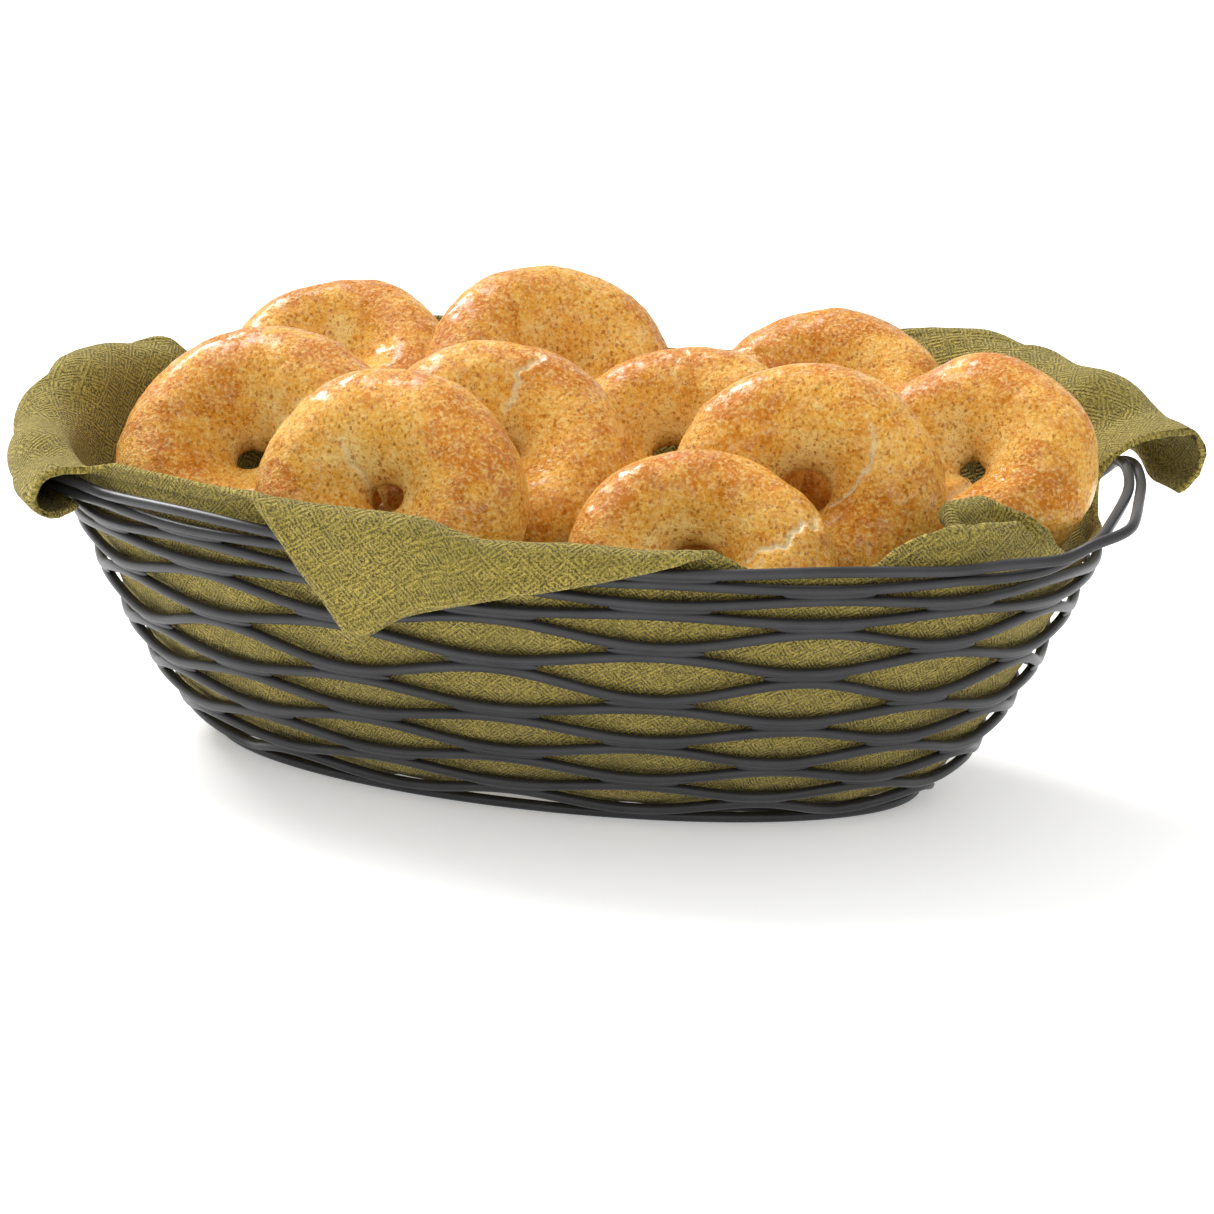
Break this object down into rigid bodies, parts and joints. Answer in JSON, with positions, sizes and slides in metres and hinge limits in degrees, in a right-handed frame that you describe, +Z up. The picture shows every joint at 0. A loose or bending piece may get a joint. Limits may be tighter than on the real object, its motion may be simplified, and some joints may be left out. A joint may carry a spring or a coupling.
{
  "type": "bread basket with bagels",
  "caption": "Oval wire bread basket with end handles, lined with an olive twill napkin and heaped with whole-wheat bagels.",
  "frame": {"origin": "bottom centre of the whole object's box, on the surface that the foot ring stands on", "axes": "+X along the basket's long axis, towards the raised handle; -Y is the front; +Z up"},
  "size_m": [0.4154, 0.2814, 0.1581],
  "materials": {
    "wire": "satin charcoal powder coat",
    "napkin": "olive diamond twill",
    "crust": "glazed baked crust with bran flecks"
  },
  "bodies": {
    "root": {"rim_wire_outer": "wire", "rim_wire_inner": "wire", "side_wire_01": "wire", "side_wire_02": "wire", "side_wire_03": "wire", "side_wire_04": "wire", "side_wire_05": "wire", "side_wire_06": "wire", "side_wire_07": "wire", "side_wire_08": "wire", "side_wire_09": "wire", "side_wire_10": "wire", "side_wire_11": "wire", "foot_ring": "wire", "bottom_wire_1": "wire", "bottom_wire_2": "wire", "bottom_wire_3": "wire", "bottom_wire_4": "wire", "bottom_wire_5": "wire", "napkin": "napkin", "bagel_01": "crust", "bagel_02": "crust", "bagel_03": "crust", "bagel_04": "crust", "bagel_05": "crust", "bagel_06": "crust", "bagel_07": "crust", "bagel_08": "crust", "bagel_09": "crust", "bagel_10": "crust", "bagel_11": "crust", "bagel_12": "crust", "bagel_13": "crust", "bagel_14": "crust", "bagel_15": "crust", "bagel_16": "crust"}
  },
  "joints": []
}
